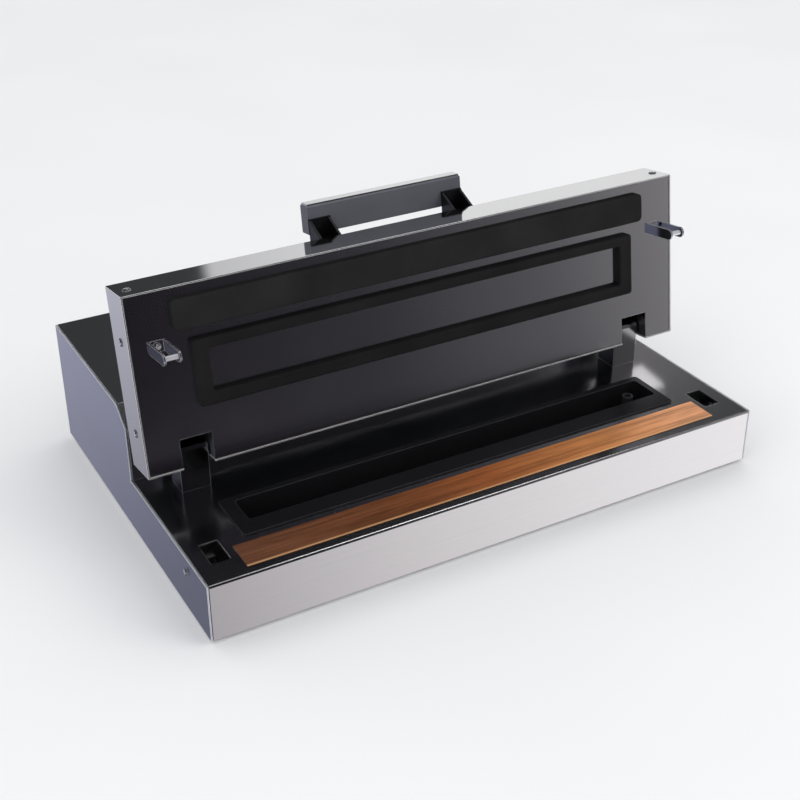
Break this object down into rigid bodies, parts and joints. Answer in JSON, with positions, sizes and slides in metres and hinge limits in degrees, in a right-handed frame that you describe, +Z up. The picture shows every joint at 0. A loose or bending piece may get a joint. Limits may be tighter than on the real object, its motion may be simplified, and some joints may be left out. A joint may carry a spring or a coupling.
{
  "type": "vacuum sealer",
  "caption": "Stainless external vacuum sealer: stepped base with seal bar, black suction trough and latch holes, hinged box lid with foam strip, gasket, latch stirrups and handle.",
  "frame": {"origin": "middle of the footprint, on the surface that the rubber feet stand on", "axes": "+X along the seal bar to the user's right, +Y to the back, +Z up"},
  "size_m": [0.5036, 0.336, 0.2377],
  "materials": {
    "stainless_base": "satin rolled stainless sheet",
    "stainless_lid": "polished stainless sheet",
    "bracket_steel": "polished stainless block",
    "chrome": "bright plated",
    "ptfe_brown": "coated glass cloth tape, slightly glossy",
    "trough_black": "moulded, satin",
    "foam_black": "closed-cell sponge, matte",
    "gasket_black": "soft moulded rubber, matte",
    "handle_black": "satin gloss",
    "trim_silver": "polished strip",
    "foot_rubber": "moulded",
    "bakelite_brown": "pressed phenolic",
    "nichrome": "rolled ribbon",
    "brass": "machined",
    "zinc_steel": "zinc plated",
    "motor_paint": "satin",
    "cast_aluminium": "die cast",
    "copper": "enamelled wire",
    "core_iron": "laminated, varnished",
    "board_green": "solder mask",
    "hose_silicone": "translucent, smooth",
    "plastic_black": "fine moulded texture",
    "button_grey": "moulded, satin gloss",
    "fascia_dark": "overlay film, satin",
    "knob_black": "moulded, satin gloss",
    "lens_clear": "clear tinted"
  },
  "bodies": {
    "base": {"left_side_panel": "stainless_base", "right_side_panel": "stainless_base", "front_cover": "stainless_base", "rear_cover": "stainless_base", "back_panel": "stainless_base", "bottom_pan": "zinc_steel", "rubber_feet": "foot_rubber", "base_screws": "chrome", "seal_bar_carrier": "bakelite_brown", "heating_element": "nichrome", "element_terminals": "brass", "ptfe_tape": "ptfe_brown", "vacuum_trough": "trough_black", "suction_port": "plastic_black", "left_hinge_bracket": "bracket_steel", "right_hinge_bracket": "bracket_steel", "hinge_bushes": "brass", "catch_brackets": "zinc_steel", "catch_pivots": "chrome", "catch_springs": "zinc_steel", "micro_switch": "plastic_black", "pump_motor": "motor_paint", "pump_crankcase": "cast_aluminium", "pump_heads": "cast_aluminium", "pump_mounts": "foot_rubber", "release_valve": "plastic_black", "vacuum_hose": "hose_silicone", "transformer_core": "core_iron", "transformer_winding": "copper", "control_fascia": "fascia_dark", "indicator_lenses": "lens_clear", "control_board": "board_green", "board_standoffs": "brass", "power_inlet": "plastic_black", "inlet_pins": "brass", "switch_housing": "plastic_black", "fan_frame": "plastic_black", "fan_guard": "chrome"},
    "lid": {"lid_shell": "stainless_lid", "lid_inner_panel": "stainless_lid", "lid_screws": "chrome", "hinge_ears": "zinc_steel", "latch_stirrups": "chrome", "lid_pins": "chrome", "pressure_beam": "zinc_steel", "pressure_foam": "foam_black", "vacuum_gasket": "gasket_black", "handle_bar": "handle_black", "handle_trim": "trim_silver", "handle_feet": "handle_black"},
    "left_catch": {"left_catch_hook": "zinc_steel"},
    "right_catch": {"right_catch_hook": "zinc_steel"},
    "plunger": {"switch_plunger": "button_grey"},
    "motor_rotor": {"pump_rotor": "zinc_steel"},
    "fan": {"fan_rotor": "plastic_black"},
    "vacuum_key": {"vacuum_button": "button_grey"},
    "seal_key": {"seal_button": "button_grey"},
    "stop_key": {"stop_button": "button_grey"},
    "knob": {"seal_time_knob": "knob_black"},
    "rocker": {"power_rocker": "knob_black"}
  },
  "joints": [
    {"name": "lid_hinge", "type": "hinge", "parent": "base", "child": "lid", "pos_m": [0, -0.03136, 0.08418], "axis": [1, 0, 0], "range_deg": [0, 98.2]},
    {"name": "left_catch_pivot", "type": "hinge", "parent": "base", "child": "left_catch", "pos_m": [-0.2287, -0.106, 0.024], "axis": [1, 0, 0], "range_deg": [0, 25], "stiffness_Nm_per_rad": 0.05, "springref_deg": -20.05},
    {"name": "right_catch_pivot", "type": "hinge", "parent": "base", "child": "right_catch", "pos_m": [0.2287, -0.106, 0.024], "axis": [1, 0, 0], "range_deg": [0, 25], "stiffness_Nm_per_rad": 0.05, "springref_deg": -20.05},
    {"name": "switch_travel", "type": "slide", "parent": "base", "child": "plunger", "axis": [0, 0, -1], "range_m": [0, 0.0015], "stiffness_N_per_m": 200, "springref_m": -0.002},
    {"name": "motor_spin", "type": "hinge", "parent": "base", "child": "motor_rotor", "pos_m": [0, 0.09, 0.052], "axis": [1, 0, 0], "continuous": true},
    {"name": "fan_spin", "type": "hinge", "parent": "base", "child": "fan", "pos_m": [-0.15, 0.15, 0.06], "axis": [0, 1, 0], "continuous": true},
    {"name": "vacuum_press", "type": "slide", "parent": "base", "child": "vacuum_key", "axis": [0, 0, -1], "range_m": [0, 0.0015], "stiffness_N_per_m": 300, "springref_m": -0.002},
    {"name": "seal_press", "type": "slide", "parent": "base", "child": "seal_key", "axis": [0, 0, -1], "range_m": [0, 0.0015], "stiffness_N_per_m": 300, "springref_m": -0.002},
    {"name": "stop_press", "type": "slide", "parent": "base", "child": "stop_key", "axis": [0, 0, -1], "range_m": [0, 0.0015], "stiffness_N_per_m": 300, "springref_m": -0.002},
    {"name": "time_turn", "type": "hinge", "parent": "base", "child": "knob", "pos_m": [0.05, 0.06, 0.12], "axis": [0, 0, -1], "range_deg": [0, 270]},
    {"name": "power_rock", "type": "hinge", "parent": "base", "child": "rocker", "pos_m": [0.13, 0.158, 0.042], "axis": [1, 0, 0], "range_deg": [0, 16]}
  ]
}
